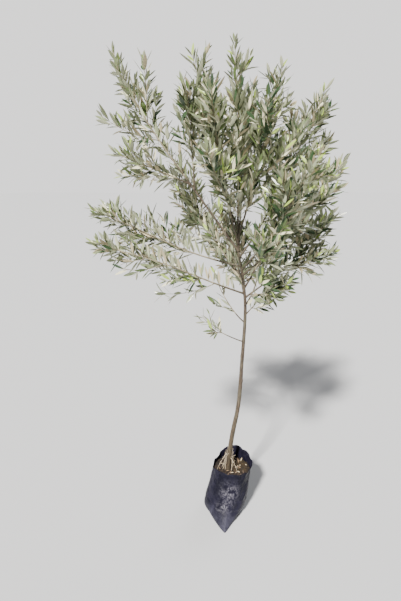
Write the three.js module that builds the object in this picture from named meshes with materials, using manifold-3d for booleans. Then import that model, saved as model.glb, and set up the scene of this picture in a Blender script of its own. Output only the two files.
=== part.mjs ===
// A young olive tree in a black film nursery bag, about two metres tall, in millimetres with +Z up.
// The origin is the middle of the bag's flat underside. The photographed side faces -Y.
// The trunk stands on the soil, the boughs branch from it, and each bough ends in a mass of leafy shoots.
import * as THREE from 'three';
import { mergeVertices } from 'three/addons/utils/BufferGeometryUtils.js';
import Module from 'manifold-3d';

const wasm = await Module();
wasm.setup();

// Clearance between two pieces that touch, and the shortest edge that is kept
const GAP = 0.35;
const FINEST_EDGE = 0.05;
const UP = new THREE.Vector3(0, 0, 1);
const DEGREE = Math.PI / 180;

// Bag: a flat tube of film, sealed across its foot, so the filled foot has an ear at the front and the back.
// Each ring gives half its width and length, and how square (2 is an ellipse, 1 comes to points).
const BAG_RINGS = [
  { height: 0, halfWidth: 76, halfLength: 156, power: 1.18 },
  { height: 28, halfWidth: 99, halfLength: 125, power: 1.4 },
  { height: 58, halfWidth: 100, halfLength: 101, power: 1.78 },
  { height: 118, halfWidth: 96, halfLength: 92, power: 2 },
  { height: 168, halfWidth: 91, halfLength: 89, power: 2 },
  { height: 210, halfWidth: 89, halfLength: 90, power: 2 },
];
const BAG_WALL = 2;
const BAG_SIDES = 28;
const BAG_LEAN = { x: 0.185, y: 0.085 };
const RIM = { front: 246, back: 268, left: 231, right: 231 };
const RIM_CORNER = { turn: 38, height: 13 };
const RIM_FLARE = 1.5;
const AXIS = 'axis';

// Soil, filled to a little below the rim
const SOIL_EDGE = 210;
const SOIL_TOP = 216;
const SOIL_EDGE_INSET = 12;

// Trunk: a leaning foot, a nearly straight bole, and a sway back to the left where it enters the crown
const TRUNK_PATH = [
  [20, 20, SOIL_TOP + GAP], [36, 18, 383], [63, 19, 560], [73, 23, 760], [81, 24, 990],
  [69, 20, 1130], [45, 17, 1260], [38, 16, 1400],
];
const TRUNK_FOOT_RADIUS = 11.4;
const TRUNK_TOP_RADIUS = 3.8;
const FLARE_RADIUS = 7;
const FLARE_HEIGHT = 20;
const TRUNK_SIDES = 9;
const TRUNK_RINGS = 18;

// Branches: where each leaves the trunk (a height) or the branch it is on (a distance along it), its turn
// from +X and its rise above level at both ends, its whole length, and the bare bough before its leaves
const BRANCHES = [
  { name: 'leader', at: 1400, turn: [200, 160], rise: [89, 86], length: 590, bare: 0, radius: 3.8 },
  { name: 'left_high', at: 1262, turn: [176, 172], rise: [49, 63], length: 865, bare: 345, radius: 5.2 },
  {
    name: 'left_up', on: 'left_high', at: 300, turn: [200, 364], rise: [86, 68],
    length: 455, bare: 60, radius: 3.4,
  },
  {
    name: 'left_level', on: 'left_high', at: 325, turn: [200, 196], rise: [26, 16],
    length: 290, bare: 50, radius: 3.2,
  },
  { name: 'left_upper', at: 1198, turn: [188, 184], rise: [17, 27], length: 605, bare: 105, radius: 3.8 },
  { name: 'left_lower', at: 1080, turn: [200, 192], rise: [24, 19], length: 630, bare: 115, radius: 4 },
  { name: 'left_twig', at: 950, turn: [182, 168], rise: [40, 76], length: 240, bare: 55, radius: 2.8 },
  { name: 'left_foot', at: 862, turn: [178, 184], rise: [14, 48], length: 200, bare: 75, radius: 2.6 },
  { name: 'right_sprig', at: 985, turn: [340, 352], rise: [48, 66], length: 190, bare: 30, radius: 2.8 },
  { name: 'right_lower', at: 1062, turn: [4, 12], rise: [36, 52], length: 480, bare: 110, radius: 4 },
  { name: 'right_mid', at: 1160, turn: [346, 352], rise: [44, 58], length: 560, bare: 120, radius: 4.2 },
  { name: 'right_high', at: 1236, turn: [14, 22], rise: [56, 68], length: 720, bare: 150, radius: 4.6 },
  { name: 'right_up', at: 1318, turn: [318, 334], rise: [70, 80], length: 600, bare: 110, radius: 4 },
  { name: 'front_lower', at: 1028, turn: [276, 268], rise: [32, 52], length: 460, bare: 90, radius: 3.6 },
  { name: 'front_left', at: 1120, turn: [244, 238], rise: [44, 60], length: 400, bare: 110, radius: 3.4 },
  { name: 'front_right', at: 1180, turn: [306, 312], rise: [44, 60], length: 540, bare: 100, radius: 3.8 },
  { name: 'front_high', at: 1290, turn: [240, 226], rise: [62, 76], length: 600, bare: 125, radius: 4 },
  { name: 'back_lower', at: 1046, turn: [96, 104], rise: [32, 50], length: 485, bare: 90, radius: 3.8 },
  { name: 'back_right', at: 1104, turn: [50, 44], rise: [40, 56], length: 555, bare: 100, radius: 4 },
  { name: 'back_left', at: 1148, turn: [142, 136], rise: [40, 58], length: 570, bare: 105, radius: 4 },
  { name: 'back_high', at: 1276, turn: [78, 70], rise: [58, 76], length: 635, bare: 115, radius: 4.2 },
  { name: 'back_left_high', at: 1344, turn: [148, 140], rise: [64, 80], length: 560, bare: 95, radius: 3.6 },
];
const PATH_STEPS = 24;
const TIP_RADIUS = 1.3;
const BOUGH_SIDES = 6;
const BOUGH_RINGS = 4;
const STEM_SIDES = 5;

// Side shoots leave each stem one by one round the golden angle and bend upwards
const GOLDEN_ANGLE = 137.5 * DEGREE;
const SHOOT_START = 30;
const SHOOT_SPACING = 78;
const SHOOT_ANGLE = 46 * DEGREE;
const SHOOT_SHARE = 0.5;
const SHOOT_SHORTEST = 55;
const SHOOT_LONGEST = 215;
const SHOOT_LIFT = 0.55;
const SHOOT_RADIUS = 2;
const SHOOT_TIP_RADIUS = 1.5;
const SHOOT_STEPS = 2;
const SHOOT_SIDES = 3;

// Leaves stand in pairs, each pair a quarter turn from the last. They are fewer and larger than life.
const LEAF_LENGTH = 92;
const LEAF_WIDTH = 21;
const LEAF_THICKNESS = 1.8;
const LEAF_SPACING = 84;
const LEAF_ANGLE = 44 * DEGREE;
const LEAF_LIFT = 0.45;
const LEAF_ROOT = 0.8;
const LEAF_BELLY = 0.46;

// How far apart the leaves of two masses stay, and a leaf from a limb
const SPACE_MARGIN = 3;
const LIMB_MARGIN = 2;

// A seeded generator of numbers from 0 to 1, with 32-bit whole-number steps
function seeded(seed) {
  let state = seed >>> 0;
  return () => {
    state = (Math.imul(state, 1664525) + 1013904223) >>> 0;
    return state / 4294967296;
  };
}

function mix(a, b, share) {
  return a + (b - a) * share;
}

// A heading from its turn round +Z, counted from +X, and its rise above level, both in degrees
function heading(turn, rise) {
  const t = turn * DEGREE;
  const r = rise * DEGREE;
  return new THREE.Vector3(Math.cos(r) * Math.cos(t), Math.cos(r) * Math.sin(t), Math.sin(r));
}

// A unit vector at an angle from an axis, at a roll round it
function splay(axis, angle, roll) {
  const other = Math.abs(axis.z) < 0.95 ? UP : new THREE.Vector3(1, 0, 0);
  const side = new THREE.Vector3().crossVectors(axis, other).normalize();
  const across = new THREE.Vector3().crossVectors(axis, side);
  return axis.clone().multiplyScalar(Math.cos(angle))
    .addScaledVector(side, Math.sin(angle) * Math.cos(roll))
    .addScaledVector(across, Math.sin(angle) * Math.sin(roll));
}

// A path is a list of evenly spaced points. These read it at a distance from its start.
function pathLength(path) {
  return path[0].distanceTo(path[1]) * (path.length - 1);
}

function pointOn(path, distance) {
  const place = Math.min(Math.max(distance / pathLength(path), 0), 1) * (path.length - 1);
  const i = Math.min(Math.floor(place), path.length - 2);
  return path[i].clone().lerp(path[i + 1], place - i);
}

function directionOn(path, distance) {
  const place = Math.min(Math.max(distance / pathLength(path), 0), 1) * (path.length - 1);
  const i = Math.min(Math.floor(place), path.length - 2);
  return path[i + 1].clone().sub(path[i]).normalize();
}

// A branch's path, whose turn and rise change evenly along it, with a slight waver
function branchPath(start, branch, index) {
  const path = [start.clone()];
  const step = branch.length / PATH_STEPS;
  for (let i = 0; i < PATH_STEPS; i++) {
    const share = (i + 0.5) / PATH_STEPS;
    const waver = 3 * Math.sin(7 * share + index);
    const turn = mix(branch.turn[0], branch.turn[1], share) + waver;
    const rise = mix(branch.rise[0], branch.rise[1], share) + waver;
    path.push(path[i].clone().addScaledVector(heading(turn, rise), step));
  }
  return path;
}

// A shoot's path, which bends towards the light
function shootPath(start, direction, length, lift, steps) {
  const path = [start.clone()];
  const way = direction.clone();
  for (let i = 0; i < steps; i++) {
    path.push(path[i].clone().addScaledVector(way, length / steps));
    way.addScaledVector(UP, lift / steps).normalize();
  }
  return path;
}

// The trunk's path at even steps of height, and its radius at a height
const trunkCurve = new THREE.CatmullRomCurve3(
  TRUNK_PATH.map((p) => new THREE.Vector3(...p)), false, 'catmullrom', 0.5,
);
const trunkPath = trunkCurve.getPoints(TRUNK_RINGS * 4);

function trunkPoint(height) {
  const i = Math.max(1, trunkPath.findIndex((p) => p.z >= height));
  const [low, high] = height > trunkPath[trunkPath.length - 1].z - 1e-6
    ? trunkPath.slice(-2) : [trunkPath[i - 1], trunkPath[i]];
  return low.clone().lerp(high, (height - low.z) / (high.z - low.z));
}

function trunkRadius(height) {
  const foot = TRUNK_PATH[0][2];
  const top = TRUNK_PATH[TRUNK_PATH.length - 1][2];
  const taper = mix(TRUNK_FOOT_RADIUS, TRUNK_TOP_RADIUS, (height - foot) / (top - foot));
  return taper + FLARE_RADIUS * Math.exp(-(height - foot) / FLARE_HEIGHT);
}

// A three.js geometry as a solid, and a solid as a geometry
function toSolid(geometry) {
  const bare = geometry.clone();
  bare.deleteAttribute('normal');
  bare.deleteAttribute('uv');
  const merged = mergeVertices(bare, 1e-3);
  return new wasm.Manifold(new wasm.Mesh({
    numProp: 3,
    vertProperties: new Float32Array(merged.attributes.position.array),
    triVerts: new Uint32Array(merged.index.array),
  }));
}

function toGeometry(solid) {
  const mesh = solid.getMesh();
  const geometry = new THREE.BufferGeometry();
  geometry.setAttribute('position', new THREE.BufferAttribute(mesh.vertProperties, 3));
  geometry.setIndex(new THREE.BufferAttribute(mesh.triVerts, 1));
  geometry.computeVertexNormals();
  return geometry;
}

function largest(solid) {
  return solid.decompose().sort((a, b) => b.volume() - a.volume())[0];
}

// A cylinder bent along a list of points, with a radius given for each
function limbSolid(points, radii, sides, levelFoot = false) {
  const geometry = new THREE.CylinderGeometry(1, 1, 1, sides, points.length - 1);
  const position = geometry.attributes.position;
  const last = points.length - 1;
  const frames = points.map((point, i) => {
    const way = points[Math.min(i + 1, last)].clone().sub(points[Math.max(i - 1, 0)]).normalize();
    const side = new THREE.Vector3(1, 0.35, 0).addScaledVector(way, -way.x - 0.35 * way.y).normalize();
    return { point, side, across: new THREE.Vector3().crossVectors(way, side) };
  });
  if (levelFoot) {
    frames[0].side.set(1, 0.35, 0).normalize();
    frames[0].across.set(-0.35, 1, 0).normalize();
  }
  for (let v = 0; v < position.count; v++) {
    const i = Math.round((position.getY(v) + 0.5) * last);
    const { point, side, across } = frames[i];
    const spot = point.clone()
      .addScaledVector(side, position.getZ(v) * radii[i])
      .addScaledVector(across, position.getX(v) * radii[i]);
    position.setXYZ(v, spot.x, spot.y, spot.z);
  }
  return toSolid(geometry);
}

// Part of a path as points, from one distance to another
function stretch(path, from, to, count) {
  return Array.from({ length: count }, (_, i) => pointOn(path, mix(from, to, i / (count - 1))));
}

function branchRadius(branch, distance) {
  return mix(branch.radius, TIP_RADIUS, distance / branch.length);
}

function branchSolid(branch, from, to, sides, count, extra = 0) {
  const points = stretch(branch.path, from, to, count);
  const radii = points.map((_, i) => branchRadius(branch, mix(from, to, i / (count - 1))) + extra);
  return limbSolid(points, radii, sides);
}

function trunkSolid(extra = 0) {
  const foot = TRUNK_PATH[0][2];
  const top = TRUNK_PATH[TRUNK_PATH.length - 1][2];
  // The rings crowd towards the flare
  const heights = Array.from({ length: TRUNK_RINGS + 1 }, (_, i) => mix(foot, top, (i / TRUNK_RINGS) ** 1.6));
  return limbSolid(heights.map(trunkPoint), heights.map((h) => trunkRadius(h) + extra), TRUNK_SIDES, true);
}

// How far a spot is from a list of points joined up
function distanceTo(points, spot) {
  let nearest = Infinity;
  for (let i = 0; i + 1 < points.length; i++) {
    const line = new THREE.Line3(points[i], points[i + 1]);
    nearest = Math.min(nearest, line.closestPointToPoint(spot, true, new THREE.Vector3()).distanceTo(spot));
  }
  return nearest;
}

// Works out every branch's path, its bough's points and its stem's points
function layOut() {
  const byName = {};
  BRANCHES.forEach((branch, index) => {
    const parent = byName[branch.on];
    const start = parent ? pointOn(parent.path, branch.at) : trunkPoint(branch.at);
    const laid = { ...branch, index, path: branchPath(start, branch, index) };
    laid.stem = stretch(laid.path, laid.bare, laid.length, 12);
    laid.bough = stretch(laid.path, 0, laid.bare, 6);
    byName[branch.name] = laid;
  });
  return Object.values(byName);
}

const branches = layOut();
const boughs = branches.filter((branch) => branch.bare > 0);

// A spot belongs to the mass whose stem is nearest, and keeps clear of the trunk and the boughs
function inSpace(spot, branch) {
  const own = distanceTo(branch.stem, spot);
  return distanceTo(trunkPath, spot) > trunkRadius(spot.z) + LIMB_MARGIN
    && boughs.every((b) => distanceTo(b.bough, spot) > b.radius + LIMB_MARGIN)
    && branches.every((b) => b === branch || distanceTo(b.stem, spot) > own + SPACE_MARGIN);
}

// The side shoots of a branch's stem: each a path with its radius
function shootsOf(branch) {
  const random = seeded(1000 + branch.index);
  const shoots = [];
  let roll = branch.index;
  for (let d = branch.bare + SHOOT_START; d < branch.length - SHOOT_SHORTEST / 2; d += SHOOT_SPACING) {
    roll += GOLDEN_ANGLE;
    const angle = SHOOT_ANGLE * (0.85 + 0.3 * random());
    const wanted = (branch.length - d) * SHOOT_SHARE + SHOOT_SHORTEST / 2;
    const length = Math.min(SHOOT_LONGEST, Math.max(SHOOT_SHORTEST, wanted)) * (0.8 + 0.4 * random());
    const direction = splay(directionOn(branch.path, d), angle, roll + 0.5 * (random() - 0.5));
    const path = shootPath(pointOn(branch.path, d), direction, length, SHOOT_LIFT, SHOOT_STEPS);
    if (path.slice(1).every((spot) => inSpace(spot, branch))) shoots.push({ path, length });
  }
  return shoots;
}

// A leaf is an octahedron drawn out along its length: a flat rhombus in section, widest near its middle
function leafPoints(root, direction, normal, size) {
  const width = new THREE.Vector3().crossVectors(direction, normal).normalize();
  const face = new THREE.Vector3().crossVectors(width, direction).normalize();
  return (x, y, z) => {
    const along = y === 0 ? LEAF_BELLY : (y + 1) / 2;
    return root.clone()
      .addScaledVector(direction, along * (LEAF_LENGTH * size + LEAF_ROOT) - LEAF_ROOT)
      .addScaledVector(width, (x * LEAF_WIDTH * size) / 2)
      .addScaledVector(face, (z * LEAF_THICKNESS) / 2);
  };
}

const LEAF_SHAPE = new THREE.OctahedronGeometry(1);

function leafSolid(place) {
  const geometry = LEAF_SHAPE.clone();
  const position = geometry.attributes.position;
  for (let v = 0; v < position.count; v++) {
    const corner = [position.getX(v), position.getY(v), position.getZ(v)].map(Math.round);
    const spot = place(...corner);
    position.setXYZ(v, spot.x, spot.y, spot.z);
  }
  return toSolid(geometry);
}

// Pairs of leaves along a path from a distance to its tip, and one leaf that ends it
function leavesOn(path, from, branch, random) {
  const leaves = [];
  const length = pathLength(path);
  const add = (distance, direction, size) => {
    const way = directionOn(path, distance);
    const lifted = direction.addScaledVector(UP, LEAF_LIFT).normalize();
    const place = leafPoints(pointOn(path, distance), lifted, way.addScaledVector(UP, 0.3), size);
    const spots = [place(1, 0, 0), place(-1, 0, 0), place(0, 0, 1), place(0, 1, 0), place(0, 0, 0)];
    if (spots.every((spot) => inSpace(spot, branch))) leaves.push(leafSolid(place));
  };
  let pair = 0;
  for (let d = from; d < length - LEAF_SPACING / 3; d += LEAF_SPACING) {
    const roll = (pair++ * Math.PI) / 2 + 0.6 * random();
    const size = 0.82 + 0.3 * random();
    add(d, splay(directionOn(path, d), LEAF_ANGLE, roll), size);
    add(d, splay(directionOn(path, d), LEAF_ANGLE, roll + Math.PI), size);
  }
  add(length - 1, directionOn(path, length), 0.9);
  return leaves;
}

// A mass: the stem that goes on from its bough, its side shoots and their leaves, fused into one solid
function massSolid(branch) {
  const random = seeded(5000 + branch.index);
  const start = branch.bare > 0 ? branch.bare + GAP : 0;
  const solids = [branchSolid(branch, start, branch.length, STEM_SIDES, 9)];
  solids.push(...leavesOn(branch.path, branch.bare + LEAF_SPACING / 2, branch, random));
  for (const { path, length } of shootsOf(branch)) {
    const radii = path.map((_, i) => mix(SHOOT_RADIUS, SHOOT_TIP_RADIUS, i / SHOOT_STEPS));
    solids.push(limbSolid(path, radii, SHOOT_SIDES));
    solids.push(...leavesOn(path, Math.min(LEAF_SPACING * 0.6, length / 2), branch, random));
  }
  return largest(wasm.Manifold.union(solids));
}

// The bag's outline at a height: how far it reaches from its middle at an angle counted from +X
function bagReach(angle, height) {
  const above = BAG_RINGS.findIndex((ring) => ring.height >= height);
  const high = BAG_RINGS[above < 0 ? BAG_RINGS.length - 1 : above];
  const low = BAG_RINGS[Math.max(0, BAG_RINGS.indexOf(high) - 1)];
  const share = high === low ? 0 : Math.min(1, (height - low.height) / (high.height - low.height));
  const power = mix(low.power, high.power, share);
  const x = Math.abs(Math.cos(angle)) / mix(low.halfWidth, high.halfWidth, share);
  const y = Math.abs(Math.sin(angle)) / mix(low.halfLength, high.halfLength, share);
  return (x ** power + y ** power) ** (-1 / power);
}

function rimHeight(angle) {
  const c = Math.cos(angle);
  const s = Math.sin(angle);
  const corner = Math.max(0, Math.cos(angle - RIM_CORNER.turn * DEGREE)) ** 6;
  const around = (c > 0 ? RIM.right : RIM.left) * c * c + (s > 0 ? RIM.back : RIM.front) * s * s;
  return around + RIM_CORNER.height * corner;
}

// A solid of revolution whose rings are pushed out to the bag's outline. Each row of its profile
// gives how far inside the outline the ring lies, its height, and the share of the way up to the rim.
function baggy(profile) {
  const geometry = new THREE.LatheGeometry(
    profile.map(([inset], i) => new THREE.Vector2(inset === AXIS ? 0 : 1, i)), BAG_SIDES,
  );
  const position = geometry.attributes.position;
  for (let v = 0; v < position.count; v++) {
    const [inset, height, rimShare = 0] = profile[Math.round(position.getY(v))];
    const angle = Math.atan2(position.getX(v), position.getZ(v));
    const z = mix(height, rimHeight(angle), rimShare);
    const reach = inset === AXIS ? 0 : bagReach(angle, z) - inset;
    position.setXYZ(v, reach * Math.cos(angle) + BAG_LEAN.x * z, reach * Math.sin(angle) + BAG_LEAN.y * z, z);
  }
  return toSolid(geometry);
}

// The wall rings at an inset, from a foot at a height up to the soil's edge
function wallRings(inset, foot) {
  return [[AXIS, foot], [inset, foot], ...BAG_RINGS.slice(1).map((ring) => [inset, ring.height])];
}

function bagSolid() {
  const headroom = RIM.back + 60;
  const outside = baggy([
    ...wallRings(0, 0), [0, SOIL_EDGE, 0.5], [-RIM_FLARE, SOIL_EDGE, 1], [AXIS, RIM.back],
  ]);
  const cavity = baggy([
    ...wallRings(BAG_WALL, BAG_WALL), [BAG_WALL, SOIL_EDGE, 0.5], [BAG_WALL - RIM_FLARE, SOIL_EDGE, 1],
    [BAG_WALL - RIM_FLARE, headroom], [AXIS, headroom],
  ]);
  return outside.subtract(cavity);
}

function soilSolid() {
  const inset = BAG_WALL + GAP * 1.5;
  return baggy([...wallRings(inset, BAG_WALL + GAP), [SOIL_EDGE_INSET, SOIL_TOP], [AXIS, SOIL_TOP]]);
}

// Materials
const film = new THREE.MeshStandardMaterial({ color: 0x24262b, roughness: 0.45, metalness: 0 });
const earth = new THREE.MeshStandardMaterial({ color: 0x5a4230, roughness: 0.95, metalness: 0 });
const bark = new THREE.MeshStandardMaterial({ color: 0x8b7b66, roughness: 0.85, metalness: 0 });
const foliage = new THREE.MeshStandardMaterial({ color: 0x6f7a55, roughness: 0.6, metalness: 0 });

const tree = new THREE.Group();

function addNode(name, solid, material) {
  const mesh = new THREE.Mesh(toGeometry(solid.simplify(FINEST_EDGE)), material);
  mesh.name = name;
  tree.add(mesh);
}

function buildPot() {
  addNode('bag', bagSolid(), film);
  addNode('soil', soilSolid(), earth);
}

// Each bough starts inside its parent. Every piece is cut clear of the limbs made before it.
function buildTree() {
  addNode('trunk', trunkSolid(), bark);
  const wideLimbs = [trunkSolid(GAP)];
  const cutClear = (solid) => largest(wideLimbs.reduce((left, limb) => left.subtract(limb), solid));
  for (const branch of boughs) {
    const bough = branchSolid(branch, 0, branch.bare, BOUGH_SIDES, BOUGH_RINGS);
    addNode(`bough_${branch.name}`, cutClear(bough), bark);
    wideLimbs.push(branchSolid(branch, 0, branch.bare, BOUGH_SIDES, BOUGH_RINGS, GAP));
  }
  for (const branch of branches) {
    addNode(`leaves_${branch.name}`, cutClear(massSolid(branch)), foliage);
  }
}

buildPot();
buildTree();

export default tree;
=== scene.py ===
import math

import bpy
import numpy as np
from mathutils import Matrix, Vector, noise


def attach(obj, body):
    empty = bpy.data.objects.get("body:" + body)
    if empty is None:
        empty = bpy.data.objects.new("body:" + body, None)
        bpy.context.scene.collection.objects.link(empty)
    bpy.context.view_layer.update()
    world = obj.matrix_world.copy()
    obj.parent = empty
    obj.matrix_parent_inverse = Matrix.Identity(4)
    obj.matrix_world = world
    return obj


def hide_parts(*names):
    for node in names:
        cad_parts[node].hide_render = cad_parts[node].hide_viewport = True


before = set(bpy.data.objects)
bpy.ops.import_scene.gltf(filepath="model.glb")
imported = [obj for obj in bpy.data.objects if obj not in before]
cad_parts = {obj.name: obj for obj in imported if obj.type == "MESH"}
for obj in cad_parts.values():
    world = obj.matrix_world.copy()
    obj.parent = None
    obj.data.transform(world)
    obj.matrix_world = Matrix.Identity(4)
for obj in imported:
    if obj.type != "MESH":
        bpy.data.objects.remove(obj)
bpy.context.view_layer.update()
MM = 0.001
UP = np.array((0.0, 0.0, 1.0))

# The photo's viewpoint: place in metres and downward pitch. The frame is 36 mm high, and the focal length
# is the same as its width
CAMERA_AT = (-0.111, -1.616, 1.52)
CAMERA_PITCH = 16
CAMERA_FRAME = 36
PHOTO_SIZE = (401, 601)
CAMERA_LENS = CAMERA_FRAME * PHOTO_SIZE[0] / PHOTO_SIZE[1]

# Bag: half width, half length and squareness of its outline at each height
BAG_HEIGHTS = (0, 28, 58, 118, 168, 210)
BAG_HALF_WIDTHS = (76, 99, 100, 96, 91, 89)
BAG_HALF_LENGTHS = (156, 125, 101, 92, 89, 90)
BAG_POWERS = (1.18, 1.4, 1.78, 2, 2, 2)
BAG_LEAN = (0.185, 0.085)
RIM = {"front": 246, "back": 268, "left": 231, "right": 231}
RIM_CORNER_TURN = 38
RIM_CORNER_HEIGHT = 13

# Soil: its level, the height whose outline it has, how far its edge and its skirt stay inside the bag,
# how far its edge sinks, and its rings
SOIL_TOP = 214
SOIL_OUTLINE = SOIL_TOP - 6
SOIL_EDGE = 1.5
SOIL_SINK = 4
SKIRT_HEIGHTS = (SOIL_TOP - 8, SOIL_TOP - 22)
SKIRT_INSET = 3.5
SOIL_AROUND = 96
SOIL_RINGS = 26

# Film: thickness, where it starts to stand free of the soil, where its inside ends, and its rings
FILM = 1.2
FREE_FILM = SOIL_TOP - 9
LINING_FOOT = SOIL_TOP - 24
BAG_AROUND = 264
BAG_ROWS = 90
LINING_ROWS = 8

# What lies on the soil, and how far out from its middle
CLODS = 230
CLOD_REACH = 82
LITTER = 40
LITTER_REACH = 74

# Trunk: its path, its radius at both ends, and the flare of its foot
TRUNK_PATH = (
    (20, 20, 216.35), (36, 18, 383), (63, 19, 560), (73, 23, 760), (81, 24, 990),
    (69, 20, 1130), (45, 17, 1260), (38, 16, 1400),
)
GROUND = TRUNK_PATH[0][2]
TRUNK_TOP = TRUNK_PATH[-1][2]
TRUNK_FOOT_RADIUS = 11.4
TRUNK_TOP_RADIUS = 3.8
FLARE_RADIUS = 7
FLARE_HEIGHT = 20
TRUNK_STEPS = 72

# Rings of the trunk's skin: how far it goes into the soil, and the spacing below and above a height
TRUNK_ROOT = 8
CLOSE_RINGS_BELOW = 300
CLOSE_RINGS = 3.0
WIDE_RINGS = 4.5
TRUNK_SIDES = 30

# Bark: depth of its relief on trunk and boughs, nodes along it, and root ridges on the flare
TRUNK_BARK = 1.0
BOUGH_BARK = 0.5
ROOT_RIDGE = 2.6
ROOT_RIDGE_HEIGHT = 26
NODE_SPACING = 37
NODE_PLACE = 18
NODE_LENGTH = 3.2

# Healed knots on the trunk: way up from its lowest ring, turn round it, and how far each stands out
KNOTS = ((96, 5.2, 2.2), (188, 3.6, 2.6), (262, 0.4, 1.8), (345, 4.4, 2.4), (470, 5.9, 2), (590, 3.2, 1.8))
KNOT_LENGTH = 8
KNOT_SPREAD = 0.55

# Boughs: spacing of the rings and sides of their skin, and the collar where each leaves its limb
BOUGH_RINGS = 5
BOUGH_SIDES = 14
COLLAR_SHARE = 0.45
COLLAR_LENGTH = 9

# Dry leafless shoots beside and behind the trunk's foot: turn, how far out each roots, its height, and
# how far its tip stands off the bark. The arched ones bend over: turn, height on the trunk, and reach
DRY_SHOOTS = (
    (196, 27, 106, 5), (222, 22, 132, 2), (170, 28, 84, 9), (334, 21, 118, 3), (313, 30, 72, 13),
    (358, 26, 94, 6), (80, 26, 88, 7), (146, 28, 76, 10),
)
ARCHED_SHOOTS = ((202, 82, 54), (312, 58, 46))
DRY_RADII = (1.35, 0.95, 0.5)
DRY_FORK_RADII = (0.85, 0.4)
DRY_STEPS = 12
DRY_ROOT = 4
DRY_KINK = 2.4

# Branches: name, what it is on and where, turn from +X and rise above level at both ends,
# whole length, the bare bough before its leaves, and its radius where it starts
BRANCHES = (
    ("leader", "trunk", 1400, (200, 160), (89, 86), 590, 0, 3.8),
    ("left_high", "trunk", 1262, (176, 172), (49, 63), 865, 345, 5.2),
    ("left_up", "left_high", 300, (200, 364), (86, 68), 455, 60, 3.4),
    ("left_level", "left_high", 325, (200, 196), (26, 16), 290, 50, 3.2),
    ("left_upper", "trunk", 1198, (188, 184), (17, 27), 605, 105, 3.8),
    ("left_lower", "trunk", 1080, (200, 192), (24, 19), 630, 115, 4),
    ("left_twig", "trunk", 950, (182, 168), (40, 76), 240, 55, 2.8),
    ("left_foot", "trunk", 862, (178, 184), (14, 48), 200, 75, 2.6),
    ("right_sprig", "trunk", 985, (340, 352), (48, 66), 190, 30, 2.8),
    ("right_lower", "trunk", 1062, (4, 12), (36, 52), 480, 110, 4),
    ("right_mid", "trunk", 1160, (346, 352), (44, 58), 560, 120, 4.2),
    ("right_high", "trunk", 1236, (14, 22), (56, 68), 720, 150, 4.6),
    ("right_up", "trunk", 1318, (318, 334), (70, 80), 600, 110, 4),
    ("front_lower", "trunk", 1028, (276, 268), (32, 52), 460, 90, 3.6),
    ("front_left", "trunk", 1120, (244, 238), (44, 60), 400, 110, 3.4),
    ("front_right", "trunk", 1180, (306, 312), (44, 60), 540, 100, 3.8),
    ("front_high", "trunk", 1290, (240, 226), (62, 76), 600, 125, 4),
    ("back_lower", "trunk", 1046, (96, 104), (32, 50), 485, 90, 3.8),
    ("back_right", "trunk", 1104, (50, 44), (40, 56), 555, 100, 4),
    ("back_left", "trunk", 1148, (142, 136), (40, 58), 570, 105, 4),
    ("back_high", "trunk", 1276, (78, 70), (58, 76), 635, 115, 4.2),
    ("back_left_high", "trunk", 1344, (148, 140), (64, 80), 560, 95, 3.6),
)
PATH_STEPS = 24
STEM_POINTS = 12
TIP_RADIUS = 1.3

# Main side shoots, as in the solids
GOLDEN_ANGLE = math.radians(137.5)
SHOOT_START = 30
SHOOT_SPACING = 78
SHOOT_ANGLE = math.radians(46)
SHOOT_SHARE = 0.5
SHOOT_SHORTEST = 55
SHOOT_LONGEST = 215
SHOOT_LIFT = 0.55

# Finer twigs between and on them, which the solids leave out. They may enter a neighbour's space by a
# margin, grow longer towards the trunk, and get shorter between two heights near the top
TWIG_SPACING = 19
TWIG_ANGLE = math.radians(42)
TWIG_SHARE = 0.42
TWIG_SHORTEST = 34
TWIG_LONGEST = 115
TWIG_LIFT = 0.5
TWIG_MARGIN = -6
INWARD_GROWTH = 1.4
TOP_THINS = (1680, 1900)
TOP_SHARE = 0.4
TIP_GROWTH = 26

# Shoots and twigs: radii from root to tip, sides, and the bare start before the leaves
SHOOT_FORM = ((2, 1.1, 0.6), 6, 14)
TWIG_FORM = ((1.15, 0.8, 0.5), 5, 9)

# Stems: rings and sides, and how far past the bough's tip the leaves and the twigs start
STEM_RINGS = 14
STEM_SIDES = 7
STEM_TIP_RADIUS = 0.7
FIRST_LEAF = 8
FIRST_TWIG = 12
FIRST_TWIG_ON_COMB = 90

# Leaves, near their real size, dealt to three pieces. Their tips may enter a neighbour's space by a
# margin. Young ones, close to a tip, are smaller, slimmer and more upright
LEAF_LENGTH = 68
LEAF_WIDTH = 13.5
LEAF_HALF_THICKNESS = 0.25
LEAF_SPACING = 17
LEAF_ANGLE = math.radians(44)
LEAF_LIFT = 0.35
LEAF_MARGIN = -20
LEAF_CHECKS = (0.25, 0.5, 0.75, 1)
YOUNG_REACH = 45
YOUNG_SIZE = 0.55
YOUNG_ANGLE = 0.6
YOUNG_WIDTH = 0.7
LEAF_PIECES = "abc"

# On the two long low branches slim leaves stand up in a sparse comb, and little hangs below. Two in five of
# their undersides take the darker copy of the sage underside, which is painted shade
COMBED = ("left_upper", "left_lower")
COMB_START = 0.45
COMB_SPACING = 32
COMB_UNDERSIDES = (3, 1, 3, 0, 2)
UNDER_COMB_SHARE = 0.42

# Limbs that the photographed side shows whole: how far below and above each branch, or to the sides
# of the trunk between two heights, nothing grows in front of it, and how close to the trunk at all
EYE = np.array(CAMERA_AT) / MM
CLEAR = {"left_upper": (26, 80), "left_lower": (26, 80), "left_high": (22, 26)}
CLEAR_SHARE = 0.8
CLEAR_TRUNK_HEIGHTS = (800, TRUNK_TOP)
CLEAR_TRUNK_SIDE = 12
CLEAR_FRONT = 9
TRUNK_CLEARANCE = 7

# Masses that are little more than a thin twig, and the share of twigs and leaves that they have
SPARSE = {"left_twig": 0.5, "left_foot": 0.45}

# Where most sprays are dark: this close to the trunk below one height, where the dark is painted shade of
# the crown's interior as well as older leaves, and above another
SHADED_HEART_REACH = 150
SHADED_HEART_TOP = 1560
DARK_TIPS = 1790
DARK_SHARE = 0.6


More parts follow.
